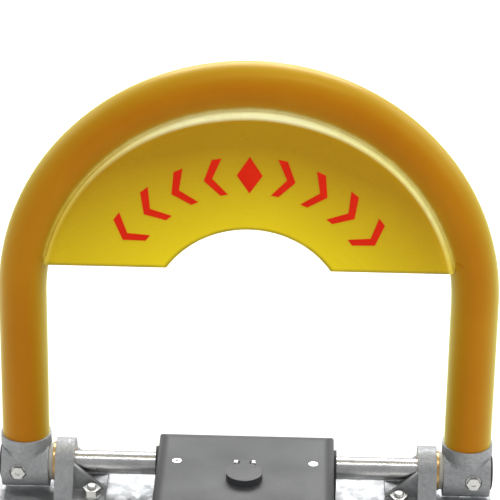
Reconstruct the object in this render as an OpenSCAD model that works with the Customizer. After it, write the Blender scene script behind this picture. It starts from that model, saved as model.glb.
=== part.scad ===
// Fold-down hoop parking barrier: a bent tube hoop with a hollow sign panel,
// turning on a shaft across a T-shaped ground plate, held upright by a key-operated bolt.
// Frame: origin on the ground at the middle of the plate, +X right, +Y to the back, +Z up.
// The hoop stands upright and unlocked at rest, and folds forward, towards -Y.

/* [Hoop] */
// Overall width of the hoop, outside to outside
hoop_w = 523; // [505:1:540]
// Overall height of the upright hoop above the ground
hoop_h = 500; // [490:1:540]
// Outside diameter of the hoop tube
tube_od = 50; // [48:0.5:51]
// Wall thickness of the hoop tube
tube_wall = 3; // [2:0.5:4]

/* [Sign panel] */
// How far the panel's rim reaches in front of the tube, outwards from its inside edge
rim_overlap = 5.5; // [4:0.5:7]
// Bend radius of the panel's rim
rim_bend_r = 12; // [10:0.5:13]
// Height of the panel's straight bottom edge above the centre of the bend
panel_chord = 42; // [40:1:46]
// Radius of the round cut-out in the bottom edge
cutout_r = 102; // [101:1:104]
// Height of the cut-out's top above the centre of the bend
cutout_top = 87; // [85:1:89]
// Thickness of the panel's sheet steel
sheet_t = 2; // [1.5:0.5:2.5]
// Number of painted warning marks along the arc
mark_count = 9; // [5:2:11]

/* [Base] */
// Length of the ground plate, front to back
plate_len = 368; // [366:1:376]
// Width of the ground plate's cross bar
plate_w = 528; // [524:1:540]
// Thickness of the ground plate
plate_t = 6; // [5:0.5:6]
// Height of the hoop's pivot above the ground
hinge_z = 38; // [38:0.5:40]
// Height of the lock housing's flat top
cover_h = 70; // [70:0.5:72]
// Width of the lock housing
cover_w = 188; // [186:1:190]
// Wall thickness of the lock housing
cover_wall = 2.5; // [2:0.5:3]

/* [Pivot and lock] */
// Diameter of the pivot shaft
shaft_d = 25; // [24:0.5:26]
// How far the lock bolt is thrown
bolt_throw = 10; // [9:0.5:10]
// Diameter of the anchor holes in the ground plate
anchor_hole_d = 13; // [11:0.5:14]

/* [Hidden] */
$fn = 96;
eps = 0.01;

// Hoop
tube_r = tube_od / 2;
bend_r = hoop_w / 2 - tube_r;
arc_z = hoop_h - bend_r - tube_r;
foot_top = 73.5;
rim_r = bend_r - tube_r + rim_overlap;
cutout_z = arc_z + cutout_top - cutout_r;
edge_bend_r = 4;

// Base: the lowered panel's cut-out goes round the housing's nose, so the two share a centre
nose_r = cover_w / 2;
tongue_r = nose_r + 32;
nose_y = tongue_r - plate_len / 2;
hinge_y = nose_y + cutout_z - hinge_z;
bar_front = hinge_y - 55;
rear_y = plate_len / 2;
gasket_t = 1.5;
cover_z0 = plate_t + gasket_t;
cover_back_r = cover_h - hinge_z;
cover_edge_r = 12;
anchor_rear = [hoop_w / 2 - tube_r, hinge_y + 42];
anchor_front = [nose_r + 15, nose_y - 11];

// Pivot line, from the middle outwards
fit_gap = 0.03;
run_gap = 0.05;
shaft_r = shaft_d / 2;
bracket_x = [184, 204];
bracket_foot_x = 150;
bracket_half_len = 45;
bracket_top_r = 26;
bush_r = 16;
bush_flange_r = 21;
bush_flange_t = 3;
washer_x = [bracket_x[1] + bush_flange_t + 0.2, bend_r - tube_r];
foot_x = [bend_r - tube_r, bend_r + tube_r];
foot_r = 27;
foot_bolt_x = bend_r + 7;
stud_spots = [[164, -33], [164, 33]];
end_cap_t = 3;

// Stops and springs
collar_x = [68, 86];
collar_r = 21;
lug_r = 27;
lug_half_w = 7;
spring_x = [31, 65];
spring_r = 16.5;
spring_wire_r = 2.5;
spring_turns = 6.25;
spring_leg = 34;

// Lock: a crank pin on the plug moves the bolt through a cross slot
disc_r = 27;
disc_t = 12;
disc_hub_r = 18.5;
disc_hub_x = 12;
notch_depth = 8.5;
disc_pin_x = 9.2;
disc_pin_r = 2.5;
bolt_h = 12;
bolt_w = 28;
bolt_tip_gap = 2;
bolt_y = [-125, -disc_r - bolt_tip_gap];
plug_y = -85;
plug_r = 6.5;
crank_r = bolt_throw / (2 * sin(45));
crank_pin_r = 2.5;
slot_gap = 0.3;
cam_z = [hinge_z + bolt_h / 2 + 0.8, hinge_z + bolt_h / 2 + 5.8];
cylinder_r = 11;
cylinder_flange_r = 15;
cylinder_flange_t = 3;
post_spots = [[72, -50], [72, -150], [40, -235]];

// Keyhole cap
cap_r = 19;
cap_top = cover_h + 7.8;
cap_hinge_dy = 24;
cap_hinge_z = cover_h + 4.8;
cap_pin_r = 1.5;

// Down-stop buffers, under the lowered panel beside the cut-out
buffer_r = 7.5;
buffer_angle = 50;
buffer_ring_r = cutout_r + 13;
buffer_top = hinge_z - tube_r - 0.3;

yellow = [0.85, 0.65, 0.1];
zinc = [0.7, 0.71, 0.72];
steel = [0.55, 0.56, 0.58];
rubber = [0.08, 0.08, 0.08];
brass = [0.75, 0.6, 0.3];

// ---- Helpers ----

module on_hinge() translate([0, hinge_y, hinge_z]) children();

module on_arc() translate([0, hinge_y, arc_z]) children();

module both_sides() {
    children();
    mirror([1, 0, 0]) children();
}

module left_side() mirror([1, 0, 0]) children();

// A cylinder along X between two places on it
module rod_x(x, r) translate([x[0], 0, 0]) rotate([0, 90, 0]) cylinder(r = r, h = x[1] - x[0]);

module ring_x(x, r_out, r_in) difference() {
    rod_x(x, r_out);
    rod_x([x[0] - 1, x[1] + 1], r_in);
}

module hex(across, h) cylinder(d = across / cos(30), h = h, $fn = 6);

// ---- Ground plate and brackets ----

module plate_outline() {
    corner = 20;
    for (sx = [-1, 1]) {
        for (y = [bar_front + corner, rear_y - corner])
            translate([sx * (plate_w / 2 - corner), y]) circle(corner);
    }
    translate([-plate_w / 2 + corner, bar_front]) square([plate_w - 2 * corner, rear_y - bar_front]);
    translate([-plate_w / 2, bar_front + corner]) square([plate_w, rear_y - bar_front - 2 * corner]);
    translate([-tongue_r, nose_y]) square([2 * tongue_r, bar_front - nose_y + 1]);
    translate([0, nose_y]) circle(tongue_r);
}

module base_plate() color(zinc) difference() {
    linear_extrude(plate_t) plate_outline();
    both_sides() {
        translate([anchor_rear[0], anchor_rear[1], -1]) cylinder(d = anchor_hole_d, h = plate_t + 2);
        translate([anchor_front[0], anchor_front[1], -1]) cylinder(d = anchor_hole_d, h = plate_t + 2);
        for (s = stud_spots) translate([s[0], hinge_y + s[1], -1]) cylinder(r = 5.05, h = plate_t + 2);
    }
}

module bracket() on_hinge() {
    floor_z = plate_t - hinge_z;
    foot_t = 9;
    foot_len = 2 * bracket_half_len;
    rib_y = [15.5, 21];
    difference() {
        union() {
            rod_x(bracket_x, bracket_top_r);
            translate([bracket_x[0], 0, 0]) rotate([90, 0, 90]) linear_extrude(bracket_x[1] - bracket_x[0])
                polygon([[-bracket_half_len, floor_z], [bracket_half_len, floor_z],
                    [bracket_half_len, floor_z + foot_t], [bracket_top_r * cos(20), bracket_top_r * sin(20)],
                    [-bracket_top_r * cos(20), bracket_top_r * sin(20)], [-bracket_half_len, floor_z + foot_t]]);
            translate([bracket_foot_x, -bracket_half_len, floor_z])
                cube([bracket_x[1] - bracket_foot_x, foot_len, foot_t]);
            for (y = [rib_y[0], -rib_y[1]]) translate([bracket_foot_x, y + rib_y[1] - rib_y[0], floor_z])
                rotate([90, 0, 0]) linear_extrude(rib_y[1] - rib_y[0])
                    polygon([[0, 0], [bracket_x[0] - bracket_foot_x + 1, 0],
                        [bracket_x[0] - bracket_foot_x + 1, 8 - floor_z], [0, foot_t + 1]]);
        }
        rod_x([bracket_x[0] - 1, bracket_x[1] + 1], bush_r);
        for (s = stud_spots) translate([s[0], s[1], floor_z - 1]) cylinder(r = 5.5, h = foot_t + 2);
    }
}

module bracket_right() color(zinc) bracket();

module bracket_left() color(zinc) left_side() bracket();

module bush() on_hinge() difference() {
    union() {
        rod_x(bracket_x, bush_r);
        rod_x([bracket_x[1], bracket_x[1] + bush_flange_t], bush_flange_r);
    }
    rod_x([bracket_x[0] - 1, bracket_x[1] + bush_flange_t + 1], shaft_r + run_gap);
}

module bush_right() color(brass) bush();

module bush_left() color(brass) left_side() bush();

module bracket_studs() color(steel) both_sides() for (s = stud_spots)
    translate([s[0], hinge_y + s[1], 0.5]) cylinder(r = 5, h = plate_t + 22);

module bracket_nuts() color(zinc) both_sides() for (s = stud_spots)
    translate([s[0], hinge_y + s[1], plate_t + 9]) difference() {
        union() {
            cylinder(r = 10, h = 2);
            translate([0, 0, 2]) hex(17, 8);
        }
        translate([0, 0, -1]) cylinder(r = 5.05, h = 12);
    }

// ---- Lock housing ----

// The housing's solid form, drawn in by "inset" for the inside of the sheet
module housing_form(inset, z0) {
    r = nose_r - inset;
    top = cover_h - inset;
    edge = cover_edge_r - inset;
    back = cover_back_r - inset;
    module half_section() {
        translate([0, z0]) square([r, top - edge - z0]);
        translate([0, z0]) square([r - edge, top - z0]);
        translate([r - edge, top - edge]) circle(edge);
    }
    module side_section() {
        translate([nose_y, z0]) square([hinge_y - nose_y, top - z0]);
        translate([hinge_y, hinge_z]) circle(back);
        translate([nose_y, z0]) square([hinge_y - nose_y + back, hinge_z - z0]);
    }
    intersection() {
        translate([0, hinge_y + back + 1, 0]) rotate([90, 0, 0])
            linear_extrude(hinge_y - nose_y + back + 1) {
                half_section();
                mirror([1, 0]) half_section();
            }
        translate([-r - 1, 0, 0]) rotate([90, 0, 90]) linear_extrude(2 * r + 2) side_section();
    }
    translate([0, nose_y, 0]) rotate([0, 0, 180]) rotate_extrude(angle = 180) half_section();
}

module seal_slot(r, x) on_hinge() {
    rod_x(x, r);
    translate([x[0], -r, cover_z0 - hinge_z - 1]) cube([x[1] - x[0], 2 * r, hinge_z - cover_z0 + 1]);
}

module lock_housing() color(yellow) difference() {
    housing_form(0, cover_z0);
    housing_form(cover_wall, cover_z0 - 1);
    both_sides() {
        seal_slot(16, [nose_r - 10, nose_r + 1]);
        for (s = post_spots) {
            translate([s[0], hinge_y + s[1], cover_h - 10]) cylinder(r = 2.75, h = 12);
            translate([s[0], hinge_y + s[1], cover_h - 2.4]) cylinder(r1 = 2.7, r2 = 5.1, h = 2.4 + eps);
        }
    }
    translate([0, hinge_y + plug_y, cover_h - 10]) cylinder(r = cylinder_r + 0.1, h = 20);
}

module gasket_outline(inset) {
    r = nose_r - inset;
    translate([0, nose_y]) circle(r);
    translate([-r, nose_y]) square([2 * r, hinge_y - nose_y + cover_back_r - inset]);
}

module housing_gasket() color(rubber) translate([0, 0, plate_t]) linear_extrude(gasket_t) difference() {
    gasket_outline(-0.5);
    gasket_outline(6);
}

module housing_posts() color(zinc) both_sides() for (s = post_spots)
    translate([s[0], hinge_y + s[1], plate_t]) difference() {
        hex(12, cover_h - cover_wall - plate_t);
        translate([0, 0, cover_h - cover_wall - plate_t - 18]) cylinder(r = 2.52, h = 20);
    }

module housing_screws() color(steel) both_sides() for (s = post_spots)
    translate([s[0], hinge_y + s[1], cover_h]) difference() {
        union() {
            translate([0, 0, -2.4]) cylinder(r1 = 2.6, r2 = 5, h = 2.4);
            translate([0, 0, -18]) cylinder(r = 2.5, h = 17);
        }
        translate([0, 0, -1.8]) cylinder(d = 3.4, h = 3, $fn = 6);
    }

module shaft_seal() difference() {
    union() {
        seal_body(19, [nose_r - cover_wall - 2.5, nose_r - cover_wall - 0.05]);
        seal_body(15.8, [nose_r - cover_wall - 1, nose_r + 1]);
        seal_body(19, [nose_r + 0.05, nose_r + 3]);
    }
    on_hinge() rod_x([nose_r - 10, nose_r + 10], shaft_r + 0.5);
}

module seal_body(r, x) on_hinge() {
    rod_x(x, r);
    translate([x[0], -r, cover_z0 + 0.2 - hinge_z]) cube([x[1] - x[0], 2 * r, hinge_z - cover_z0 - 0.2]);
}

module shaft_seal_right() color(rubber) shaft_seal();

module shaft_seal_left() color(rubber) left_side() shaft_seal();

// ---- Stops, springs and buffers on the base ----

module stop_blocks() color(steel) both_sides()
    translate([collar_x[0] - 2, hinge_y - 23, plate_t]) cube([21, 23 - lug_half_w - 0.1, 10]);

module spring_rests() color(steel) both_sides() difference() {
    translate([spring_x[0] - 8, hinge_y - spring_leg - 2, plate_t])
        cube([16, 14, hinge_z - spring_r - plate_t]);
    translate([spring_x[0], hinge_y - spring_leg - 3, hinge_z - spring_r]) rotate([-90, 0, 0])
        cylinder(r = spring_wire_r + 0.1, h = 16);
}

// The spring's path as [point, outward normal]: a straight leg, the coil, and a stub along the shaft
function coil_point(t) = let (a = 360 * t, x = spring_x[0] + (spring_x[1] - spring_x[0]) * t / spring_turns)
    [[x, spring_r * sin(a), -spring_r * cos(a)], [0, sin(a), -cos(a)]];
function spring_path() = let (last = coil_point(spring_turns), bend = 3, bend_steps = 4) concat(
    [for (i = [0:2]) [[spring_x[0], -spring_leg * (1 - i / 3), -spring_r], [0, 0, -1]]],
    [for (t = [0:1 / 20:spring_turns - bend / (360 * spring_r) * 57.3 + eps]) coil_point(t)],
    [for (i = [1:bend_steps]) [last[0] + [bend * (1 - cos(90 * i / bend_steps)),
        0, 0] + bend * sin(90 * i / bend_steps) * [0, -last[1][2], last[1][1]], last[1]]],
    [for (d = [4, 12]) [last[0] + [bend + d, 0, 0] + bend * [0, -last[1][2], last[1][1]], last[1]]]);

function unit(v) = v / norm(v);

module sweep(path, r, sides) {
    n = len(path);
    rings = [for (i = [0:n - 1]) let (
        ahead = unit(path[min(i + 1, n - 1)][0] - path[max(i - 1, 0)][0]),
        across = unit(path[i][1] - (path[i][1] * ahead) * ahead),
        third = cross(ahead, across))
        for (k = [0:sides - 1]) path[i][0] + r * (cos(360 * k / sides) * across + sin(360 * k / sides) * third)];
    walls = [for (i = [0:n - 2], k = [0:sides - 1]) let (k2 = (k + 1) % sides)
        [i * sides + k, (i + 1) * sides + k, (i + 1) * sides + k2, i * sides + k2]];
    caps = [[for (k = [0:sides - 1]) k], [for (k = [sides - 1:-1:0]) (n - 1) * sides + k]];
    polyhedron(points = rings, faces = concat(walls, caps), convexity = 10);
}

module torsion_spring_right() color(steel) on_hinge() sweep(spring_path(), spring_wire_r, 8);

module torsion_spring_left() color(steel) left_side() on_hinge() sweep(spring_path(), spring_wire_r, 8);

module down_buffers() color(rubber) both_sides()
    translate([buffer_ring_r * cos(buffer_angle), nose_y - buffer_ring_r * sin(buffer_angle), plate_t])
        difference() {
            union() {
                cylinder(r = buffer_r, h = buffer_top - plate_t - 1.5);
                translate([0, 0, buffer_top - plate_t - 1.5]) cylinder(r1 = buffer_r, r2 = buffer_r - 1.5, h = 1.5);
            }
            translate([0, 0, 3]) cylinder(r = 3.5, h = 20);
        }

// ---- Bolt guide and cylinder on the base ----

module bolt_guide() color(steel) on_hinge() difference() {
    floor_z = plate_t - hinge_z;
    guide_w = bolt_w + 16;
    union() {
        translate([-guide_w / 2, bolt_y[0] + 3, floor_z]) cube([guide_w, 78, 10]);
        translate([-guide_w / 2, bolt_y[0] + 3, floor_z]) cube([guide_w, 16, 12 - floor_z]);
        translate([-guide_w / 2, bolt_y[0] + 61, floor_z]) cube([guide_w, 20, 12 - floor_z]);
    }
    translate([-bolt_w / 2 - 0.2, bolt_y[0] - 1, -bolt_h / 2 - 0.2]) cube([bolt_w + 0.4, 90, bolt_h + 0.4]);
}

module lock_cylinder() color(brass) translate([0, hinge_y + plug_y, 0]) difference() {
    union() {
        translate([0, 0, cam_z[1] + 0.5]) cylinder(r = cylinder_r, h = cover_h - cam_z[1] - 0.5);
        translate([0, 0, cover_h]) cylinder(r = cylinder_flange_r, h = cylinder_flange_t);
    }
    translate([0, 0, cover_h - 30]) cylinder(r = plug_r + run_gap, h = 40);
}

module lock_nut() color(zinc) translate([0, hinge_y + plug_y, cover_h - cover_wall - 6]) difference() {
    hex(28, 6);
    translate([0, 0, -1]) cylinder(r = cylinder_r + fit_gap, h = 8);
}

module cap_hinge() color(zinc) translate([0, hinge_y + plug_y + cap_hinge_dy, 0]) difference() {
    union() {
        translate([-11, -3, cover_h]) cube([22, 10, 1.4]);
        both_sides() {
            translate([0, 0, cap_hinge_z]) rod_x([7.3, 11], 3.2);
            translate([7.3, -3.2, cover_h]) cube([3.7, 6.4, cap_hinge_z - cover_h]);
        }
    }
    translate([0, 0, cap_hinge_z]) rod_x([-12, 12], cap_pin_r + fit_gap);
}

module cap_hinge_pin() color(steel) translate([0, hinge_y + plug_y + cap_hinge_dy, cap_hinge_z])
    rod_x([-11.5, 11.5], cap_pin_r);

// ---- Hoop ----

module hoop_solid(r, leg_z0) {
    on_arc() rotate([90, 0, 0]) rotate_extrude(angle = 180) translate([bend_r, 0]) circle(r);
    both_sides() translate([bend_r, hinge_y, leg_z0]) cylinder(r = r, h = arc_z - leg_z0);
}

module hoop_tube() color(yellow) difference() {
    hoop_solid(tube_r, foot_top);
    hoop_solid(tube_r - tube_wall, foot_top - 1);
    both_sides() leg_screw_spots() cylinder(r = 4.2, h = tube_od);
}

// Where each leg's screws enter, from behind
module leg_screw_spots() for (z = [foot_top + 12, foot_top + 28])
    translate([bend_r, hinge_y, z]) rotate([-90, 0, 0]) children();

// The front half of the panel as a solid, before it is hollowed
module panel_form(inset) {
    depth = tube_r - inset;
    r_out = rim_r - inset;
    bend = rim_bend_r - inset;
    inner_r = 70;
    on_arc() rotate([90, 0, 0]) difference() {
        rotate_extrude(angle = 180) {
            translate([inner_r, -inset]) square([r_out - inner_r, depth - bend + inset]);
            translate([inner_r, -inset]) square([r_out - bend - inner_r, depth + inset]);
            translate([r_out - bend, depth - bend]) circle(bend);
        }
        translate([-rim_r - 1, -1, -50]) cube([2 * rim_r + 2, panel_chord + inset + 1, 100]);
        translate([0, cutout_top - cutout_r, -50]) cylinder(r = cutout_r + inset, h = 100);
    }
}

// What rounding the panel's bottom edge and cut-out edge takes away
module edge_cutters() on_arc() {
    translate([-rim_r - 1, -tube_r, panel_chord]) rotate([90, 0, 90]) linear_extrude(2 * rim_r + 2)
        difference() {
            translate([-1, -1]) square(edge_bend_r + 1);
            translate([edge_bend_r, edge_bend_r]) circle(edge_bend_r);
        }
    translate([0, 0, cutout_top - cutout_r]) rotate([90, 0, 0]) rotate_extrude()
        translate([cutout_r, tube_r]) difference() {
            translate([-1, -edge_bend_r]) square(edge_bend_r + 1);
            translate([edge_bend_r, -edge_bend_r]) circle(edge_bend_r);
        }
}

module sign_skin() difference() {
    panel_form(0);
    panel_form(sheet_t);
    edge_cutters();
    on_arc() rotate([90, 0, 0]) rotate_extrude() translate([bend_r, 0]) circle(tube_r);
}

module front_sign_panel() color(yellow) sign_skin();

module rear_sign_panel() color(yellow) translate([0, 2 * hinge_y, 0]) mirror([0, 1, 0]) sign_skin();

// Chevrons along the arc, pointing outwards on both sides of a middle diamond
module warning_marks() {
    arc = 112;
    step = arc / (mark_count - 1);
    half = 4.2;
    stroke = 3.4;
    mark_r = [129, 149, 169];
    function spot(r, a) = [r * sin(a), r * cos(a)];
    on_arc() rotate([90, 0, 0]) linear_extrude(0.4) for (i = [0:mark_count - 1]) {
        a = (i - (mark_count - 1) / 2) * step;
        lean = sign(a);
        if (lean == 0)
            polygon([spot(mark_r[0], 0), spot(mark_r[1], -half * 1.2), spot(mark_r[2], 0), spot(mark_r[1], half * 1.2)]);
        else
            polygon([spot(mark_r[0], a - lean * half), spot(mark_r[1], a + lean * (half - stroke)),
                spot(mark_r[2], a - lean * half), spot(mark_r[2], a - lean * (half - stroke)),
                spot(mark_r[1], a + lean * half), spot(mark_r[0], a - lean * (half - stroke))]);
    }
}

module warning_marks_front() color("red") translate([0, -tube_r, 0]) warning_marks();

module warning_marks_rear() color("red") translate([0, tube_r + 0.4, 0]) warning_marks();

module foot() difference() {
    union() {
        on_hinge() rod_x(foot_x, foot_r);
        translate([bend_r, hinge_y, hinge_z]) cylinder(r = tube_r, h = foot_top - hinge_z - 12);
        translate([bend_r, hinge_y, foot_top - 12]) cylinder(r = foot_r, h = 12);
        translate([bend_r, hinge_y, foot_top - 1]) cylinder(r = tube_r - tube_wall - 0.1, h = 39);
    }
    on_hinge() {
        rod_x([foot_x[0] - 1, foot_x[1] + 1], shaft_r + fit_gap);
        translate([foot_bolt_x, -60, 0]) rotate([-90, 0, 0]) cylinder(r = 4.2, h = 120);
        translate([foot_bolt_x, -60, 0]) rotate([-90, 0, 0]) cylinder(r = 9, h = 60 - 23);
        translate([foot_bolt_x, 23, 0]) rotate([-90, 0, 0]) cylinder(r = 9, h = 60);
    }
    leg_screw_spots() translate([0, 0, 6]) cylinder(r = 4.02, h = 40);
}

module foot_right() color(zinc) foot();

module foot_left() color(zinc) left_side() foot();

module leg_screws() color(zinc) both_sides() leg_screw_spots() difference() {
    union() {
        translate([0, 0, 8]) cylinder(r = 4, h = tube_r - 8 + 1);
        translate([0, 0, tube_r + 0.05]) cylinder(r1 = 7, r2 = 4.5, h = 4.2);
    }
    translate([0, 0, tube_r + 1.5]) cylinder(d = 5.6, h = 5, $fn = 6);
}

module pivot_shaft() color(steel) on_hinge() difference() {
    rod_x([-foot_x[1] + 6, foot_x[1] - 6], shaft_r);
    both_sides() translate([foot_bolt_x, -30, 0]) rotate([-90, 0, 0]) cylinder(r = 4.2, h = 60);
    translate([disc_pin_x, 0, -30]) cylinder(r = disc_pin_r, h = 60);
}

module cross_bolts() color(zinc) on_hinge() both_sides() translate([foot_bolt_x, -23, 0]) rotate([90, 0, 0])
    difference() {
        union() {
            cylinder(r = 8, h = 1.6);
            translate([0, 0, 1.6]) hex(13, 5.3);
            translate([0, 0, -46 - 9]) cylinder(r = 4, h = 56);
        }
        translate([0, 0, 5.5]) cylinder(r = 2.6, h = 3);
    }

module cross_nuts() color(zinc) on_hinge() both_sides() translate([foot_bolt_x, 23, 0]) rotate([-90, 0, 0])
    difference() {
        union() {
            cylinder(r = 8, h = 1.6);
            translate([0, 0, 1.6]) hex(13, 6.4);
        }
        translate([0, 0, -1]) cylinder(r = 4.05, h = 12);
    }

module end_cap() on_hinge() {
    rod_x([foot_x[1] - 5.5, foot_x[1] + eps], shaft_r);
    rod_x([foot_x[1], foot_x[1] + end_cap_t - 1], 19);
    translate([foot_x[1] + end_cap_t - 1, 0, 0]) rotate([0, 90, 0]) cylinder(r1 = 19, r2 = 16, h = 1);
}

module end_cap_right() color(rubber) end_cap();

module end_cap_left() color(rubber) left_side() end_cap();

module thrust_washers() color([0.9, 0.9, 0.88]) on_hinge() both_sides() ring_x(washer_x, 20, shaft_r + 0.1);

// ---- Parts on the shaft inside the housing ----

module lock_disc() color(steel) on_hinge() difference() {
    union() {
        rod_x([-disc_hub_x, disc_hub_x], disc_hub_r);
        // the sector spans from below the front notch to behind the top notch
        intersection() {
            rod_x([-disc_t / 2, disc_t / 2], disc_r);
            union() for (a = [0, 45, 90]) rotate([-a, 0, 0]) translate([-disc_t, -disc_r - 1, -14])
                cube([2 * disc_t, disc_r + 1, 28]);
        }
    }
    rod_x([-20, 20], shaft_r + fit_gap);
    for (a = [0, -90]) rotate([a, 0, 0])
        translate([-disc_t, -disc_r - 1, -bolt_h / 2 - 0.3]) cube([2 * disc_t, notch_depth + 1, bolt_h + 0.6]);
    translate([disc_pin_x, 0, -30]) cylinder(r = disc_pin_r, h = 60);
}

module disc_pin() color(zinc) on_hinge() translate([disc_pin_x, 0, -disc_hub_r + 0.5])
    difference() {
        cylinder(r = disc_pin_r, h = 2 * disc_hub_r - 1);
        translate([0, 0, -1]) cylinder(r = 1.4, h = 2 * disc_hub_r + 2);
    }

module stop_collar() on_hinge() difference() {
    union() {
        rod_x(collar_x, collar_r);
        translate([collar_x[0], -lug_half_w, -lug_r]) cube([collar_x[1] - collar_x[0], 2 * lug_half_w, lug_r]);
    }
    rod_x([collar_x[0] - 1, collar_x[1] + 1], shaft_r + fit_gap);
    end = spring_path()[len(spring_path()) - 1][0];
    translate([collar_x[0] - 1, end[1], end[2]]) rotate([0, 90, 0])
        cylinder(r = spring_wire_r + 0.4, h = collar_x[1] - collar_x[0] - 3);
    translate([(collar_x[0] + collar_x[1]) / 2, 0, 0]) cylinder(r = 3.02, h = collar_r + 1);
}

module stop_collar_right() color(zinc) stop_collar();

module stop_collar_left() color(zinc) left_side() stop_collar();

module collar_set_screws() color(steel) on_hinge() both_sides()
    translate([(collar_x[0] + collar_x[1]) / 2, 0, shaft_r + 0.05]) difference() {
        cylinder(r = 3, h = 9);
        translate([0, 0, 5]) cylinder(d = 3.4, h = 5, $fn = 6);
    }

// ---- Lock ----

module lock_plug() color(brass) translate([0, hinge_y + plug_y, 0]) difference() {
    union() {
        translate([0, 0, cam_z[1]]) cylinder(r = plug_r, h = cover_h + cylinder_flange_t - cam_z[1]);
        translate([-4, -4, cam_z[0] + 1]) cube([8, 8, cam_z[1] - cam_z[0]]);
    }
    translate([-1.1, -4, cover_h + cylinder_flange_t - 12]) cube([2.2, 8, 13]);
    translate([0, 0, cam_z[0] - 1]) cylinder(r = 2.02, h = 12);
}

module lock_cam() color(steel) translate([0, hinge_y + plug_y, 0]) difference() {
    union() {
        translate([0, 0, cam_z[0]]) cylinder(r = 12, h = cam_z[1] - cam_z[0]);
        rotate([0, 0, -45]) translate([crank_r, 0, hinge_z - bolt_h / 2 + 1])
            cylinder(r = crank_pin_r, h = cam_z[0] - hinge_z + bolt_h / 2);
    }
    translate([-4.05, -4.05, cam_z[0] + 1]) cube([8.1, 8.1, 10]);
    translate([0, 0, cam_z[0] - 1]) cylinder(r = 2.3, h = 4);
    translate([0, 0, cam_z[0] - eps]) cylinder(r1 = 3.3, r2 = 2.3, h = 1 + eps);
}

module cam_screw() color(steel) translate([0, hinge_y + plug_y, cam_z[0] + 0.1]) {
    cylinder(r1 = 3.1, r2 = 2.2, h = 0.9);
    translate([0, 0, 0.9]) cylinder(r = 2, h = 9);
}

module lock_bolt() color(steel) on_hinge() difference() {
    translate([-bolt_w / 2, bolt_y[0], -bolt_h / 2]) cube([bolt_w, bolt_y[1] - bolt_y[0], bolt_h]);
    translate([crank_r * cos(45) - crank_pin_r - slot_gap, plug_y - crank_r * sin(45) - crank_pin_r - slot_gap,
        -bolt_h]) cube([crank_r * (1 - cos(45)) + 2 * (crank_pin_r + slot_gap), 2 * (crank_pin_r + slot_gap),
        2 * bolt_h]);
}

module keyhole_cap() color(yellow) translate([0, hinge_y + plug_y, 0]) difference() {
    union() {
        translate([0, 0, cover_h + 0.3]) cylinder(r = cap_r, h = cap_top - cover_h - 0.3);
        translate([-5, 0, cap_top - 2.4]) cube([10, cap_hinge_dy, 2.4]);
        translate([0, cap_hinge_dy, cap_hinge_z]) rod_x([-7, 7], 3);
    }
    translate([0, 0, cover_h - 1]) cylinder(r = cap_r - 2, h = cap_top - cover_h - 1);
    translate([0, cap_hinge_dy, cap_hinge_z]) rod_x([-8, 8], cap_pin_r + run_gap);
}

base_plate();
bracket_left();
bracket_right();
bush_left();
bush_right();
bracket_studs();
bracket_nuts();
lock_housing();
housing_gasket();
housing_posts();
housing_screws();
shaft_seal_left();
shaft_seal_right();
lock_cylinder();
lock_nut();
bolt_guide();
stop_blocks();
spring_rests();
torsion_spring_left();
torsion_spring_right();
down_buffers();
cap_hinge();
cap_hinge_pin();
hoop_tube();
front_sign_panel();
rear_sign_panel();
warning_marks_front();
warning_marks_rear();
foot_left();
foot_right();
leg_screws();
pivot_shaft();
cross_bolts();
cross_nuts();
end_cap_left();
end_cap_right();
thrust_washers();
lock_disc();
disc_pin();
stop_collar_left();
stop_collar_right();
collar_set_screws();
lock_plug();
lock_cam();
cam_screw();
lock_bolt();
keyhole_cap();
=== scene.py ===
import bpy
import bmesh
import math
from mathutils import Matrix, Vector


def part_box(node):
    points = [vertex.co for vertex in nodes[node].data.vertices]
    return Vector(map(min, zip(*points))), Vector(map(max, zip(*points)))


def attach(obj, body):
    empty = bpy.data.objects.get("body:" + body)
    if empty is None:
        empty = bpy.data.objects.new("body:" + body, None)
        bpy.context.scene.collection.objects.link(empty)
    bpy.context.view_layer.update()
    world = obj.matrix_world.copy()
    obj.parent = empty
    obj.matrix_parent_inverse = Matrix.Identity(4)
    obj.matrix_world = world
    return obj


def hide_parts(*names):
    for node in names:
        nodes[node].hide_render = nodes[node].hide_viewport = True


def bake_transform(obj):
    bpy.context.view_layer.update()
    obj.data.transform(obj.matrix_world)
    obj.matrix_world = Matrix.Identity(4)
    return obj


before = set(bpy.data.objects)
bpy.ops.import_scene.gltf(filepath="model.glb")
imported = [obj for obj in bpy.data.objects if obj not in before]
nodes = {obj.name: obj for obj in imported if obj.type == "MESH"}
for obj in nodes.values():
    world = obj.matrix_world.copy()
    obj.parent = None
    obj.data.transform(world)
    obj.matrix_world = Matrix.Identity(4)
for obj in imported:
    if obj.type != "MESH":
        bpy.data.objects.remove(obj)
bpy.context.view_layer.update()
scene = bpy.context.scene

# ---- Sizes taken from the frame, in metres ----
tube_low, tube_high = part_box("hoop_tube")
TUBE_R = (tube_high.y - tube_low.y) / 2
HINGE_Y = (tube_high.y + tube_low.y) / 2
BEND_R = (tube_high.x - tube_low.x) / 2 - TUBE_R
ARC = Vector((0, HINGE_Y, tube_high.z - BEND_R - TUBE_R))   # the bend's centre
LEG_Z = tube_low.z
RIM_R = BEND_R - TUBE_R         # where the panel's rolled rim meets the tube
panel_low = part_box("front_sign_panel")[0]
cover_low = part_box("lock_housing")[0]
shaft_low, shaft_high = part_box("pivot_shaft")
HINGE_Z = (shaft_low.z + shaft_high.z) / 2

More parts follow.
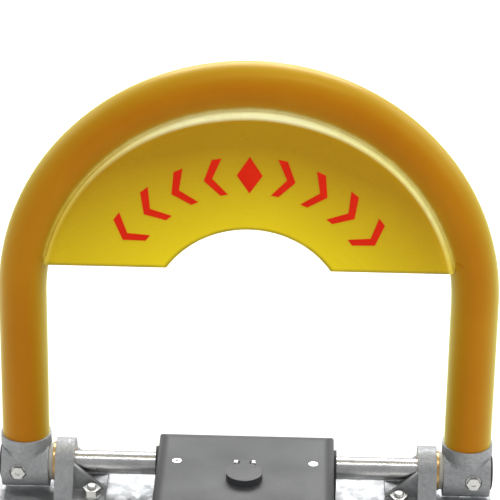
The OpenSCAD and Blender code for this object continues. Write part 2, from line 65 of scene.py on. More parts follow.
# ---- Sizes of the panel's edges, in metres ----
RIM_ROLL_R = 0.012              # radius of the rolled rim
RIM_OUT = 0.0055                # how far the roll reaches past the tube's inside edge
WELD_R = 0.004                  # the fillet between rim and tube
CUTOUT_R = 0.102                # radius of the panel's cut-out
CUTOUT_TOP = 0.087              # top of the cut-out, above the bend's centre
CUTOUT_Z = ARC.z + CUTOUT_TOP - CUTOUT_R
WELD_RUN_UP = 0.0108            # the weld run on the right, above the panel's lower edge
WELD_RUN_FROM = math.radians(42)    # its ends, round the tube from the front towards the panel
WELD_RUN_TO = math.radians(20)

# ---- Camera: the photograph's view of the hoop ----
CAM_ELEVATION = math.radians(25.33)
CAM_AZIMUTH = math.radians(1.28)
CAM_ROLL = math.radians(-0.82)
CAM_DISTANCE = 2.7046
CAM_FOCAL = 5.1712              # focal length over the picture's width
SENSOR_WIDTH = 36
# where the bend's centre falls from the picture's middle, right and up, in picture widths
ARC_IN_PICTURE = (-0.003, -0.095)


def look_matrix(place, target, roll=0.0):
    back = (place - target).normalized()
    right = Vector((0, 0, 1)).cross(back).normalized()
    up = back.cross(right)
    turned_right = right * math.cos(roll) + up * math.sin(roll)
    turned_up = up * math.cos(roll) - right * math.sin(roll)
    m = Matrix((turned_right, turned_up, back)).transposed().to_4x4()
    m.translation = place
    return m


def make_camera():
    level = math.cos(CAM_ELEVATION)
    back = Vector((math.sin(CAM_AZIMUTH) * level, -math.cos(CAM_AZIMUTH) * level,
                   math.sin(CAM_ELEVATION)))
    data = bpy.data.cameras.new("photo_camera")
    data.sensor_width = SENSOR_WIDTH
    data.lens = CAM_FOCAL * SENSOR_WIDTH
    cam = bpy.data.objects.new("photo_camera", data)
    scene.collection.objects.link(cam)
    straight = look_matrix(ARC + back * CAM_DISTANCE, ARC, -CAM_ROLL)
    # turn the camera a little so the bend's centre falls where it does in the picture
    yaw = math.atan(ARC_IN_PICTURE[0] / CAM_FOCAL)
    pitch = math.atan(-ARC_IN_PICTURE[1] / CAM_FOCAL)
    cam.matrix_world = (straight @ Matrix.Rotation(yaw, 4, "Y")
                        @ Matrix.Rotation(pitch, 4, "X"))
    scene.camera = cam


make_camera()
scene.view_settings.view_transform = "Standard"


# ---- Node helpers ----
EDGE_DOT = 0.999                # bevelled and true normals agree this well on open faces
EDGE_SPAN = 1 / 6               # how much less they agree where an edge counts in full
BEVEL_SAMPLES = 4


class Mat:
    """A small builder for one node material around a Principled shader."""

    def __init__(self, name):
        self.m = bpy.data.materials.new(name)
        self.m.use_nodes = True
        self.t = self.m.node_tree
        self.t.nodes.clear()
        self.out = self.t.nodes.new("ShaderNodeOutputMaterial")
        self.bsdf = self.t.nodes.new("ShaderNodeBsdfPrincipled")
        self.link(self.bsdf.outputs[0], self.out.inputs[0])
        self.coord = self.t.nodes.new("ShaderNodeTexCoord")

    def link(self, a, b):
        self.t.links.new(a, b)

    def node(self, kind, **settings):
        n = self.t.nodes.new(kind)
        for key, value in settings.items():
            setattr(n, key, value)
        return n

    def set(self, **sockets):
        for key, value in sockets.items():
            self.bsdf.inputs[key.replace("_", " ")].default_value = value

    def noise(self, scale, detail=4.0, rough=0.55, stretch=None):
        n = self.node("ShaderNodeTexNoise")
        n.inputs["Scale"].default_value = scale
        n.inputs["Detail"].default_value = detail
        n.inputs["Roughness"].default_value = rough
        source = self.coord.outputs["Object"]
        if stretch:
            m = self.node("ShaderNodeMapping")
            m.inputs["Scale"].default_value = stretch
            self.link(source, m.inputs["Vector"])
            source = m.outputs[0]
        self.link(source, n.inputs["Vector"])
        return n.outputs["Fac"]

    def ramp(self, value, low, high, to_low=0.0, to_high=1.0):
        """value from low..high to to_low..to_high, held at both ends"""
        n = self.node("ShaderNodeMapRange")
        n.inputs["From Min"].default_value = low
        n.inputs["From Max"].default_value = high
        n.inputs["To Min"].default_value = to_low
        n.inputs["To Max"].default_value = to_high
        self.link(value, n.inputs["Value"])
        return n.outputs[0]

    def math(self, op, *values):
        n = self.node("ShaderNodeMath", operation=op)
        for i, v in enumerate(values):
            if isinstance(v, (int, float)):
                n.inputs[i].default_value = v
            else:
                self.link(v, n.inputs[i])
        return n.outputs[0]

    def times(self, a, b):
        return self.math("MULTIPLY", a, b)

    def hypot(self, a, b):
        squares = self.math("ADD", self.math("POWER", a, 2.0), self.math("POWER", b, 2.0))
        return self.math("SQRT", squares)

    def mix(self, factor, a, b):
        n = self.node("ShaderNodeMix", data_type="RGBA")
        for i, v in ((0, factor), (6, a), (7, b)):
            if isinstance(v, (int, float)):
                n.inputs[i].default_value = v
            elif isinstance(v, tuple):
                n.inputs[i].default_value = (*v, 1.0)
            else:
                self.link(v, n.inputs[i])
        return n.outputs[2]

    def position(self):
        n = self.node("ShaderNodeSeparateXYZ")
        self.link(self.coord.outputs["Object"], n.inputs[0])
        return n.outputs

    def rounded(self, radius):
        """The normal with its edges rounded off by radius."""
        bevel = self.node("ShaderNodeBevel", samples=BEVEL_SAMPLES)
        bevel.inputs["Radius"].default_value = radius
        return bevel.outputs[0]

    def edges(self, radius):
        """1 on sharp edges, 0 on open faces."""
        rounded = self.rounded(radius)
        geo = self.node("ShaderNodeNewGeometry")
        dot = self.node("ShaderNodeVectorMath", operation="DOT_PRODUCT")
        self.link(rounded, dot.inputs[0])
        self.link(geo.outputs["Normal"], dot.inputs[1])
        return self.ramp(dot.outputs["Value"], EDGE_DOT, EDGE_DOT - EDGE_SPAN)

    def bump(self, *layers, round_edges=0.0):
        """layers are (height, strength, distance in metres)"""
        previous = self.rounded(round_edges) if round_edges else None
        for height, strength, distance in layers:
            n = self.node("ShaderNodeBump")
            n.inputs["Strength"].default_value = strength
            n.inputs["Distance"].default_value = distance
            self.link(height, n.inputs["Height"])
            if previous is not None:
                self.link(previous, n.inputs["Normal"])
            previous = n.outputs[0]
        self.link(previous, self.bsdf.inputs["Normal"])

    def color(self, value):
        self.link(value, self.bsdf.inputs["Base Color"])

    def rough(self, value):
        self.link(value, self.bsdf.inputs["Roughness"])


# ---- The fillet between the panel's rim and the tube ----
def meet(c1, r1, c2, r2):
    """Where two circles meet, at the spot further out in front."""
    (x1, y1), (x2, y2) = c1, c2
    gap = math.hypot(x2 - x1, y2 - y1)
    along = (r1 * r1 - r2 * r2 + gap * gap) / (2 * gap)
    off = math.sqrt(r1 * r1 - along * along)
    ux, uy = (x2 - x1) / gap, (y2 - y1) / gap
    return max((x1 + ux * along - uy * off, y1 + uy * along + ux * off),
               (x1 + ux * along + uy * off, y1 + uy * along - ux * off))


def weld_section(steps=8, bite=0.001):
    """The fillet's skin, two points that bite into the steel, and the crease that it fills.

    Each point is (in front of the middle plane, outside RIM_R).
    """
    roll = (TUBE_R - RIM_ROLL_R, RIM_OUT - RIM_ROLL_R)
    tube = (0.0, TUBE_R)
    middle = meet(roll, RIM_ROLL_R + WELD_R, tube, TUBE_R + WELD_R)
    start = math.atan2(roll[1] - middle[1], roll[0] - middle[0])
    end = math.atan2(tube[1] - middle[1], tube[0] - middle[0])
    turn = (end - start + math.pi) % (2 * math.pi) - math.pi
    skin = []
    for i in range(steps + 1):
        a = start + turn * i / steps
        skin.append((middle[0] + WELD_R * math.cos(a), middle[1] + WELD_R * math.sin(a)))
    inside = []
    for spot, centre in ((skin[-1], tube), (skin[0], roll)):
        share = bite / math.hypot(centre[0] - spot[0], centre[1] - spot[1])
        inside.append((spot[0] + (centre[0] - spot[0]) * share,
                       spot[1] + (centre[1] - spot[1]) * share))
    return skin, inside, meet(roll, RIM_ROLL_R, tube, TUBE_R)


WELD_SKIN, WELD_INSIDE, CREASE = weld_section()
WELD_NEAR, WELD_FAR = WELD_SKIN[0][1], WELD_SKIN[-1][1]


# ---- Materials ----
HOOP_YELLOW = (0.485, 0.180, 0.0040)
HOOP_DEEP = (0.440, 0.143, 0.0030)
HOOP_FLANK_HIGHLIGHT = (0.455, 0.300, 0.0085)
HOOP_LOW_DARK = (0.390, 0.112, 0.003)
WELD_YELLOW = (0.465, 0.250, 0.0066)
# the colours of the rim's painted highlight, from palest to yellowest
RIM_HIGHLIGHT_PALE = (1.0, 0.99, 0.58)
RIM_HIGHLIGHT_CREAM = (1.0, 0.97, 0.40)
RIM_HIGHLIGHT_YELLOW = (0.90, 0.72, 0.10)
# the panel's yellow, its painted shade, and the painted shade along its folded edges
PANEL_BRIGHT = (0.920, 0.705, 0.011)
PANEL_PAINTED_SHADE = (0.450, 0.238, 0.006)
PANEL_HEM_SHADE = (0.27, 0.200, 0.022)
DUST = (0.20, 0.18, 0.15)


def painted_rim_highlight(k):
    """The rim's painted highlight: palest along the top, cream on the right, yellower left and low.
    """
    yellow_until, pale_from = -0.195, -0.070    # across, from the hoop's middle
    cream_start, cream_full = 0.040, 0.140
    low_until, high_from = 0.050, 0.105         # above the bend's centre
    x, _, z = k.position()
    side = k.ramp(x, yellow_until, pale_from)
    high = k.ramp(z, ARC.z + low_until, ARC.z + high_from)
    highlight_tone = k.mix(k.ramp(x, cream_start, cream_full), RIM_HIGHLIGHT_PALE, RIM_HIGHLIGHT_CREAM)
    return k.mix(k.times(side, high), RIM_HIGHLIGHT_YELLOW, highlight_tone)


def distance_from_arc(k):
    """How far a point is from the bend's centre, seen from the front."""
    x, _, z = k.position()
    return k.hypot(x, k.math("SUBTRACT", z, ARC.z))


def hoop_paint():
    """Deep amber-yellow powder coat with a painted highlight on the tube's flanks, darker in patches
    towards the ground.
    """
    orange_at, yellow_at = 0.98, 0.50       # off the middle plane, in tube radii
    outer_left_share = 0.35                 # how much of the painted highlight the left leg's outside keeps
    low_share, high_share = 0.85, 0.58      # how much of it the legs and the top keep
    low_until, high_from = 0.02, 0.14       # above the bend's centre
    darken_margin, darken_strength = 0.02, 0.42
    k = Mat("hoop_paint")
    broad = k.noise(7.0, 3.0)
    low_patches = k.noise(38.0, 6.0, 0.65)
    x, y, z = k.position()
    body = k.mix(k.ramp(broad, 0.35, 0.68), HOOP_YELLOW, HOOP_DEEP)
    # painted highlight: the tube's flanks yellower, less on the left leg's outside and at the top
    off_middle = k.math("ABSOLUTE", k.math("SUBTRACT", y, HINGE_Y))
    flank_highlight = k.times(k.ramp(off_middle, TUBE_R * orange_at, TUBE_R * yellow_at),
                    k.ramp(x, -BEND_R - TUBE_R, -BEND_R + TUBE_R / 2, outer_left_share, 1.0))
    flank_highlight = k.times(flank_highlight, k.ramp(z, ARC.z + low_until, ARC.z + high_from, low_share, high_share))
    body = k.mix(flank_highlight, body, HOOP_FLANK_HIGHLIGHT)
    # darker in noisy patches towards the ground
    low = k.times(k.ramp(z, ARC.z - darken_margin, LEG_Z - darken_margin),
                  k.ramp(low_patches, 0.30, 0.75, 0.55, 1.0))
    k.color(k.mix(k.times(low, darken_strength), body, HOOP_LOW_DARK))
    k.rough(k.ramp(k.noise(24.0, 5.0), 0.3, 0.75, 0.34, 0.46))
    k.set(Specular_IOR_Level=0.3, Specular_Tint=(1.0, 0.90, 0.20, 1.0), IOR=1.5,
          Sheen_Weight=0.70, Sheen_Roughness=0.40, Sheen_Tint=(0.78, 0.96, 0.14, 1.0))
    k.bump((k.noise(330.0, 2.0), 0.16, 0.0004), (k.noise(30.0, 2.0), 0.06, 0.0012))
    return k.m


def weld_paint():
    """Paint over the fillet between rim and tube, carrying the rim's painted highlight over to the
    tube's colour.
    """
    k = Mat("weld_paint")
    x = k.position()[0]
    out = k.ramp(distance_from_arc(k), RIM_R + WELD_NEAR - 0.0004, RIM_R + WELD_FAR)
    out = k.math("MAXIMUM", out, k.ramp(x, -0.050, -0.165, 0.0, 0.60))
    out = k.math("ADD", out, k.ramp(k.noise(60.0, 4.0), 0.3, 0.7, -0.10, 0.10))
    # the rim's painted highlight fades through a lighter yellow towards the tube, sooner on the left
    k.color(k.mix(out, k.mix(0.30, painted_rim_highlight(k), RIM_HIGHLIGHT_YELLOW), WELD_YELLOW))
    k.rough(k.ramp(k.noise(40.0, 5.0), 0.3, 0.75, 0.30, 0.42))
    k.set(Specular_IOR_Level=0.5, Specular_Tint=(1.0, 0.90, 0.26, 1.0), IOR=1.5)
    k.bump((k.noise(330.0, 2.0), 0.16, 0.0004))
    return k.m


def panel_paint():
    """Bright yellow with painted shade deeper towards the rim and the right, and a painted highlight
    along the rolled edge.
    """
    bright_until, painted_shade_from = 0.150, 0.360      # height above the bend's centre plus distance from it
    right_start, right_end, right_painted_shade = 0.020, 0.180, 0.20
    hem_near, hem_far, hem_shade_strength = 0.0025, 0.0055, 0.62
    rim_near, rim_far, rim_strength = 0.0026, 0.0062, 0.92      # past the start of the roll
    left_places, left_narrower = (-0.030, -0.170), 0.0034       # where the painted highlight line narrows
    right_places, right_narrower = (0.050, 0.150), 0.0022
    k = Mat("panel_paint")
    broad = k.noise(6.0, 3.0)
    x, _, z = k.position()
    above = k.math("SUBTRACT", z, ARC.z)
    from_arc = distance_from_arc(k)
    # painted shade: darker higher up and towards the rim, and darker towards the right
    painted_shade = k.ramp(k.math("ADD", above, from_arc), bright_until, painted_shade_from)
    painted_shade = k.math("ADD", painted_shade, k.ramp(broad, 0.3, 0.7, -0.05, 0.05))
    painted_shade = k.math("ADD", painted_shade, k.ramp(x, right_start, right_end, 0.0, right_painted_shade))
    body = k.mix(painted_shade, PANEL_BRIGHT, PANEL_PAINTED_SHADE)
    # painted shade along the folded bottom edge and the cut-out's edge, in patches
    from_cutout = k.hypot(x, k.math("SUBTRACT", z, CUTOUT_Z))
    hem_shade = k.math("MAXIMUM", k.ramp(z, panel_low.z + hem_far, panel_low.z + hem_near),
                 k.ramp(from_cutout, CUTOUT_R + hem_far, CUTOUT_R + hem_near))
    hem_shade = k.times(hem_shade, k.ramp(k.noise(45.0, 5.0), 0.3, 0.6, 0.6, 1.0))
    body = k.mix(k.times(hem_shade, hem_shade_strength), body, PANEL_HEM_SHADE)
    # painted highlight along the rolled rim, narrower down both sides
    start = RIM_R + RIM_OUT - RIM_ROLL_R
    narrow = k.math("MAXIMUM", k.ramp(x, *left_places, 0.0, left_narrower),
                    k.ramp(x, *right_places, 0.0, right_narrower))
    rim_highlight = k.ramp(k.math("SUBTRACT", from_arc, narrow), start + rim_near, start + rim_far)
    rim_highlight = k.times(rim_highlight, k.ramp(k.noise(70.0, 5.0), 0.25, 0.55, 0.80, 1.0))
    k.color(k.mix(k.times(rim_highlight, rim_strength), body, painted_rim_highlight(k)))
    k.rough(k.ramp(k.noise(20.0, 5.0), 0.3, 0.75, 0.24, 0.34))
    k.set(Specular_IOR_Level=0.4, Specular_Tint=(1.0, 0.85, 0.22, 1.0), IOR=1.5)
    k.bump((k.noise(330.0, 2.0), 0.14, 0.0004), (k.noise(16.0, 2.0), 0.04, 0.0016))
    return k.m


def mark_paint():
    """Red screen-printed paint with a slight wear in its colour."""
    k = Mat("mark_paint")
    k.color(k.mix(k.ramp(k.noise(30.0, 5.0), 0.35, 0.7),
                  (0.800, 0.020, 0.005), (0.700, 0.014, 0.004)))
    k.rough(k.ramp(k.noise(60.0, 4.0), 0.3, 0.7, 0.34, 0.48))
    k.set(Specular_IOR_Level=0.3, Specular_Tint=(1.0, 0.30, 0.16, 1.0))
    k.bump((k.noise(420.0, 2.0), 0.12, 0.0003))
    return k.m


def weld_run_paint():
    """The hoop's paint, darker and duller over the weld run."""
    k = Mat("weld_run_paint")
    k.color(k.mix(k.noise(120.0, 4.0), (0.400, 0.150, 0.004), (0.300, 0.105, 0.004)))
    k.rough(k.ramp(k.noise(90.0, 4.0), 0.3, 0.7, 0.40, 0.55))
    k.set(Specular_IOR_Level=0.3, Specular_Tint=(1.0, 0.90, 0.26, 1.0))
    k.bump((k.noise(500.0, 2.0), 0.2, 0.0003))
    return k.m


def galvanised(name, casting=False):
    """Hot-dip zinc: grey crystal patches, white bloom, dirt and brighter rubbed edges.

    Plate has broad patches and is smooth; a casting is darker, duller, rougher and finely mottled.
    """
    cell_scale, contrast = (420.0, (0.35, 0.65)) if casting else (120.0, (0.10, 0.85))
    tint, rough = (0.82, (0.48, 0.70)) if casting else (1.0, (0.38, 0.62))
    dark, light, white = (tuple(c * tint for c in grey) for grey in (
        (0.30, 0.31, 0.32), (0.52, 0.53, 0.54), (0.55, 0.56, 0.56)))
    k = Mat(name)
    # crystal cells with wavering borders
    cells = k.node("ShaderNodeTexVoronoi", feature="F1")
    cells.inputs["Scale"].default_value = cell_scale
    warp = k.node("ShaderNodeMix", data_type="VECTOR")
    jitter = k.node("ShaderNodeTexNoise")
    jitter.inputs["Scale"].default_value = 60.0
    k.link(k.coord.outputs["Object"], jitter.inputs["Vector"])
    warp.inputs[0].default_value = 0.012
    k.link(k.coord.outputs["Object"], warp.inputs[4])
    k.link(jitter.outputs["Color"], warp.inputs[5])
    k.link(warp.outputs[1], cells.inputs["Vector"])
    patch = k.node("ShaderNodeSeparateColor")
    k.link(cells.outputs["Color"], patch.inputs[0])
    bloom = k.noise(14.0, 6.0, 0.6)
    base = k.mix(k.ramp(patch.outputs[0], 0.0, 1.0, *contrast), dark, light)
    base = k.mix(k.ramp(bloom, 0.45, 0.75, 0.0, 0.6), base, white)
    edge = k.times(k.edges(0.0012), k.ramp(k.noise(90.0, 4.0), 0.3, 0.6))
    base = k.mix(k.times(edge, 0.7), base, (0.68, 0.68, 0.67))
    k.color(k.mix(k.ramp(k.noise(22.0, 7.0, 0.7), 0.60, 0.78, 0.0, 0.35), base, DUST))
    k.rough(k.ramp(k.math("ADD", patch.outputs[1], bloom), 0.4, 1.5, *rough))
    k.set(Metallic=0.85)
    if casting:
        k.bump((k.noise(420.0, 4.0, 0.7), 0.55, 0.0006), (k.noise(70.0, 4.0), 0.30, 0.0012),
               round_edges=0.0014)
    else:
        k.bump((k.noise(260.0, 3.0), 0.18, 0.0004), (patch.outputs[2], 0.05, 0.0002),
               (k.noise(40.0, 3.0), 0.18, 0.001), round_edges=0.0005)
    return k.m


def housing_paint():
    """Dark grey fine-texture powder coat with rubbed edges and light dust."""
    k = Mat("housing_paint")
    z = k.position()[2]
    body = k.mix(k.ramp(k.noise(9.0, 4.0), 0.3, 0.7), (0.038, 0.040, 0.043), (0.050, 0.052, 0.055))
    dust = k.times(k.ramp(z, cover_low.z + 0.03, cover_low.z),
                   k.ramp(k.noise(28.0, 6.0, 0.7), 0.35, 0.7))
    body = k.mix(k.times(dust, 0.5), body, DUST)
    edge = k.times(k.edges(0.0012), k.ramp(k.noise(120.0, 5.0), 0.48, 0.62))
    k.color(k.mix(k.times(edge, 0.8), body, (0.30, 0.30, 0.30)))
    k.rough(k.ramp(k.noise(18.0, 5.0), 0.3, 0.7, 0.46, 0.60))
    k.bump((k.noise(620.0, 2.0), 0.45, 0.0004), (k.noise(60.0, 2.0), 0.08, 0.001),
           round_edges=0.0009)
    return k.m


def machined(name, dark, light, rough, edge_color=None):
    """Turned or plated metal with fine tool lines and slight stains."""
    k = Mat(name)
    lines = k.noise(1.0, 3.0, 0.6, stretch=(30.0, 380.0, 380.0))
    stain = k.noise(45.0, 6.0, 0.65)
    base = k.mix(k.ramp(stain, 0.3, 0.75), light, dark)
    if edge_color:
        base = k.mix(k.times(k.edges(0.0006), 0.7), base, edge_color)
    k.color(base)
    k.rough(k.ramp(k.math("ADD", lines, stain), 0.6, 1.5, *rough))
    k.set(Metallic=1.0)
    k.bump((lines, 0.06, 0.0002), (k.noise(260.0, 2.0), 0.05, 0.0002), round_edges=0.0003)
    return k.m


def rubber():
    """Black rubber, dusty in patches."""
    k = Mat("black_rubber")
    k.color(k.mix(k.ramp(k.noise(50.0, 5.0), 0.35, 0.75),
                  (0.016, 0.016, 0.016), (0.034, 0.033, 0.032)))
    k.rough(k.ramp(k.noise(120.0, 4.0), 0.3, 0.7, 0.55, 0.78))
    k.bump((k.noise(500.0, 3.0), 0.30, 0.0003), round_edges=0.0006)
    return k.m


def nylon():
    """Off-white nylon that lets a little light in."""
    k = Mat("natural_nylon")
    k.color(k.mix(k.ramp(k.noise(60.0, 4.0), 0.3, 0.7), (0.62, 0.60, 0.53), (0.50, 0.48, 0.41)))
    k.rough(k.ramp(k.noise(200.0, 3.0), 0.3, 0.7, 0.38, 0.52))
    k.set(Subsurface_Weight=0.1, Subsurface_Scale=0.002)
    k.bump((k.noise(380.0, 2.0), 0.12, 0.0003))
    return k.m


HOOP = hoop_paint()
PANEL = panel_paint()
MARKS = mark_paint()
PLATE = galvanised("galvanised_plate")
CASTING = galvanised("galvanised_casting", casting=True)
HOUSING = housing_paint()
ZINC = machined("zinc_plate", (0.52, 0.52, 0.50), (0.70, 0.70, 0.68), (0.26, 0.42),
                edge_color=(0.85, 0.85, 0.84))
STEEL = machined("ground_steel", (0.36, 0.36, 0.36), (0.56, 0.56, 0.56), (0.20, 0.36))
SPRING = machined("spring_steel", (0.10, 0.10, 0.11), (0.20, 0.20, 0.21), (0.30, 0.45))
BRONZE = machined("bearing_bronze", (0.42, 0.25, 0.10), (0.62, 0.42, 0.19), (0.28, 0.42))
BRASS = machined("lock_brass", (0.52, 0.36, 0.13), (0.74, 0.56, 0.24), (0.22, 0.38),
                 edge_color=(0.85, 0.68, 0.36))
RUBBER = rubber()
NYLON = nylon()
WELD = weld_paint()
WELD_RUN = weld_run_paint()

# every node that isn't listed is a zinc-plated fastener or small part
NODES_OF = (
    (HOOP, ("hoop_tube",)),
    (PANEL, ("front_sign_panel", "rear_sign_panel")),
    (MARKS, ("warning_marks_front", "warning_marks_rear")),
    (PLATE, ("base_plate",)),
    (CASTING, ("bracket_left", "bracket_right", "foot_left", "foot_right")),
    (HOUSING, ("lock_housing", "keyhole_cap")),
    (RUBBER, ("housing_gasket", "shaft_seal_left", "shaft_seal_right", "down_buffers",
              "end_cap_left", "end_cap_right")),
    (BRONZE, ("bush_left", "bush_right")),
    (NYLON, ("thrust_washers",)),
    (BRASS, ("lock_cylinder", "lock_plug")),
    (SPRING, ("torsion_spring_left", "torsion_spring_right")),
    (STEEL, ("pivot_shaft", "lock_disc", "disc_pin", "lock_cam", "lock_bolt", "bolt_guide",
             "stop_blocks", "spring_rests", "stop_collar_left", "stop_collar_right",
             "cam_screw", "cap_hinge_pin")),
)
MATERIAL_OF = {name: material for material, names in NODES_OF for name in names}
for name, obj in nodes.items():
    obj.data.materials.clear()
    obj.data.materials.append(MATERIAL_OF.get(name, ZINC))


# ---- Pieces ----
def add_tube(bm, rings):
    """A skin over rings of points; each ring is a closed loop, and the ends are capped."""
    made = [[bm.verts.new(p) for p in ring] for ring in rings]
    count = len(made[0])
    for a, b in zip(made, made[1:]):
        for j in range(count):
            bm.faces.new((a[j], a[(j + 1) % count], b[(j + 1) % count], b[j]))
    bm.faces.new(list(reversed(made[0])))
    bm.faces.new(made[-1])


def make_piece(name, bm, material):
    mesh = bpy.data.meshes.new(name)
    bm.to_mesh(mesh)
    bm.free()
    mesh.materials.append(material)
    piece = bpy.data.objects.new(name, mesh)
    scene.collection.objects.link(piece)
    return piece


def smooth_piece(name, rings, material):
    bm = bmesh.new()
    add_tube(bm, rings)
    bmesh.ops.recalc_face_normals(bm, faces=bm.faces)
    piece = make_piece(name, bm, material)
    for face in piece.data.polygons:
        face.use_smooth = True
    return piece


def rim_weld(name, side):
    """The painted fillet weld along the rim; side is -1 in front and 1 behind."""
    steps, end_steps, end_share = 420, 7, 0.06
    bead, bead_height = 0.0029, 0.00011          # the ripples that the weld's beads leave
    sway, sway_radians_per_m = 0.00009, 310
    above_bottom = 0.0003
    half = math.acos((panel_low.z + above_bottom - ARC.z) / (RIM_R + WELD_NEAR))
    rings = []
    for i in range(steps + 1):
        a = -half + 2 * half * i / steps
        arc = (a + half) * RIM_R
        ripple = (bead_height * math.sin(2 * math.pi * arc / bead)
                  + sway * math.sin(arc * sway_radians_per_m + 1.3))
        # the fillet dies away into the crease at both ends
        feather = min(1.0, min(i, steps - i) / end_steps + end_share)
        ring = []
        for j, (front, out) in enumerate(WELD_SKIN + WELD_INSIDE):
            if j < len(WELD_SKIN):
                front += ripple * math.sin(math.pi * j / (len(WELD_SKIN) - 1))
            front = CREASE[0] + (front - CREASE[0]) * feather
            from_arc = RIM_R + (CREASE[1] + (out - CREASE[1]) * feather)
            ring.append((math.sin(a) * from_arc, HINGE_Y + side * front,
                         ARC.z + math.cos(a) * from_arc))
        rings.append(ring)
    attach(smooth_piece(name, rings, WELD), "hoop")


def weld_run(name, around_from, around_to, height):
    """The run where the right-hand weld stops: a thin raised line part of the way round the tube."""
    steps, sides = 28, 8
    half_width, half_height = 0.00075, 0.00042
    wave, wave_radians, drop = 0.0009, 4.0, 0.0012      # how the run strays from level
    rings = []
    for i in range(steps + 1):
        share = i / steps
        around = around_from + (around_to - around_from) * share
        z = height + wave * math.sin(share * wave_radians) - drop * share
        from_arc = BEND_R - TUBE_R * math.sin(around)
        above = z - ARC.z
        x = math.sqrt(from_arc * from_arc - above * above)
        radial = Vector((x, 0, above)) / from_arc
        normal = Vector((0, -1, 0)) * math.cos(around) - radial * math.sin(around)
        along = Vector((0, 0, 1))
        along = (along - normal * along.dot(normal)).normalized()
        middle = Vector((x, HINGE_Y - TUBE_R * math.cos(around), z))
        fat = math.sin(math.pi * (0.12 + 0.80 * share)) ** 0.6      # thinner at both ends
        rings.append([tuple(middle
                            + along * (half_width * fat * math.cos(2 * math.pi * j / sides))
                            + normal * (half_height * fat * math.sin(2 * math.pi * j / sides)))
                      for j in range(sides)])
    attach(smooth_piece(name, rings, WELD_RUN), "hoop")


def threaded_studs(name):
    """The studs with their threads, in place of the plain ones."""
    low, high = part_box("bracket_studs")
    radius, pitch, depth, chamfer = 0.005, 0.0015, 0.00062, 0.0009
    around, per_pitch = 36, 8
    count = round((high.z - low.z) / pitch * per_pitch)
    bm = bmesh.new()
    for cx in (low.x + radius, high.x - radius):
        for cy in (low.y + radius, high.y - radius):
            rings = []
            for i in range(count + 1):
                z = low.z + (high.z - low.z) * i / count
                point = max(0.0, chamfer - (high.z - z))
                ring = []
                for j in range(around):
                    phase = ((z - low.z) / pitch - j / around) % 1.0
                    r = radius - max(depth * (1 - abs(2 * phase - 1)), point)
                    turn = 2 * math.pi * j / around
                    ring.append((cx + r * math.cos(turn), cy + r * math.sin(turn), z))
                rings.append(ring)
            add_tube(bm, rings)
    piece = make_piece(name, bm, ZINC)
    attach(piece, "base")
    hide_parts("bracket_studs")


def wound_spring(name, replaced, side):
    """A torsion spring in round wire: a leg on the base's rest, the coil, and a stub in the
    hoop's collar.
    """
    low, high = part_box("torsion_spring_right")
    wire, turns, bend, stub = 0.0025, 6.25, 0.003, 0.012
    leg_steps, per_turn, bend_steps, stub_steps, sides = 6, 48, 8, 3, 14
    first, last = low.x + wire, high.x - bend - stub
    coil = HINGE_Z - low.z - wire
    leg = HINGE_Y - low.y

    def outward(turned):
        return Vector((0, math.sin(turned), -math.cos(turned)))

    # the path is (point from the pivot line, outward direction)
    path = [(Vector((first, -leg * (1 - i / leg_steps), -coil)), Vector((0, 0, -1)))
            for i in range(leg_steps)]
    for i in range(round(turns * per_turn) - 1):
        out = outward(2 * math.pi * i / per_turn)
        x = first + (last - first) * i / per_turn / turns
        path.append((Vector((x, 0, 0)) + out * coil, out))
    out = outward(2 * math.pi * turns)
    ahead = Vector((0, -out.z, out.y))
    corner = Vector((last, 0, 0)) + out * coil
    for i in range(1, bend_steps + 1):
        share = math.pi / 2 * i / bend_steps
        path.append((corner + Vector((bend * (1 - math.cos(share)), 0, 0))
                     + ahead * (bend * math.sin(share)), out))
    for i in range(1, stub_steps + 1):
        path.append((corner + Vector((bend + stub * i / stub_steps, 0, 0)) + ahead * bend, out))
    rings = []
    for i, (spot, out) in enumerate(path):
        along = (path[min(i + 1, len(path) - 1)][0] - path[max(i - 1, 0)][0]).normalized()
        across = (out - along * out.dot(along)).normalized()
        third = along.cross(across)
        ring = []
        for j in range(sides):
            turn = 2 * math.pi * j / sides
            p = spot + across * (wire * math.cos(turn)) + third * (wire * math.sin(turn))
            ring.append((side * p.x, HINGE_Y + p.y, HINGE_Z + p.z))
        rings.append(ring)
    piece = smooth_piece(name, rings, SPRING)
    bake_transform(piece)
    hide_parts(replaced)


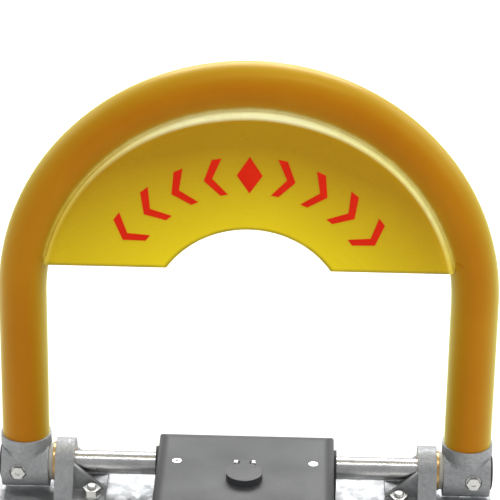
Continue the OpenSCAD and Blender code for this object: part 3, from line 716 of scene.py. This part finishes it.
rim_weld("rim_weld_front", -1)
rim_weld("rim_weld_rear", 1)
weld_run("weld_run_right", WELD_RUN_FROM, WELD_RUN_TO, panel_low.z + WELD_RUN_UP)
threaded_studs("bracket_studs_threaded")
wound_spring("torsion_spring_left_wound", "torsion_spring_left", -1)
wound_spring("torsion_spring_right_wound", "torsion_spring_right", 1)


# ---- Floor and light ----
WORLD_STRENGTH = 0.56
LIGHTS_AIM = (0, HINGE_Y, 0.42)     # a little below the top of the hoop


def make_floor(size=30.0, drop=0.0005):
    mesh = bpy.data.meshes.new("floor")
    mesh.from_pydata([(-size, -size, 0), (size, -size, 0), (size, size, 0), (-size, size, 0)],
                     [], [(0, 1, 2, 3)])
    floor = bpy.data.objects.new("floor", mesh)
    scene.collection.objects.link(floor)
    floor.location.z = -drop
    k = Mat("pale_floor")
    k.color(k.mix(k.noise(3.0, 3.0), (0.86, 0.86, 0.855), (0.88, 0.88, 0.875)))
    k.set(Roughness=0.9)
    floor.data.materials.append(k.m)


def area_light(name, place, width, power, height=None):
    """A softbox at place, aimed at the hoop; power is in watts, and height is width if not given."""
    data = bpy.data.lights.new(name, "AREA")
    data.shape = "RECTANGLE"
    data.size = width
    data.size_y = height or width
    data.energy = power
    light = bpy.data.objects.new(name, data)
    scene.collection.objects.link(light)
    light.matrix_world = look_matrix(Vector(place), Vector(LIGHTS_AIM))
    light.visible_camera = False


make_floor()
world = bpy.data.worlds.new("studio")
world.use_nodes = True
background = world.node_tree.nodes["Background"]
background.inputs["Color"].default_value = (1.0, 1.0, 1.0, 1.0)
background.inputs["Strength"].default_value = WORLD_STRENGTH
scene.world = world
area_light("back_softbox", (0.0, 1.45, 1.30), 1.4, 28.0, height=0.9)
area_light("back_left_softbox", (-1.5, 1.05, 1.10), 1.1, 7.0)
area_light("back_right_softbox", (1.5, 1.05, 1.15), 1.1, 10.0)
area_light("right_softbox", (1.6, -0.45, 1.15), 0.8, 5.5)
area_light("overhead_strip", (0.15, -0.25, 1.75), 1.5, 9.0, height=0.10)
area_light("front_left_softbox", (-1.6, -1.8, 0.95), 2.2, 2.0, height=1.5)
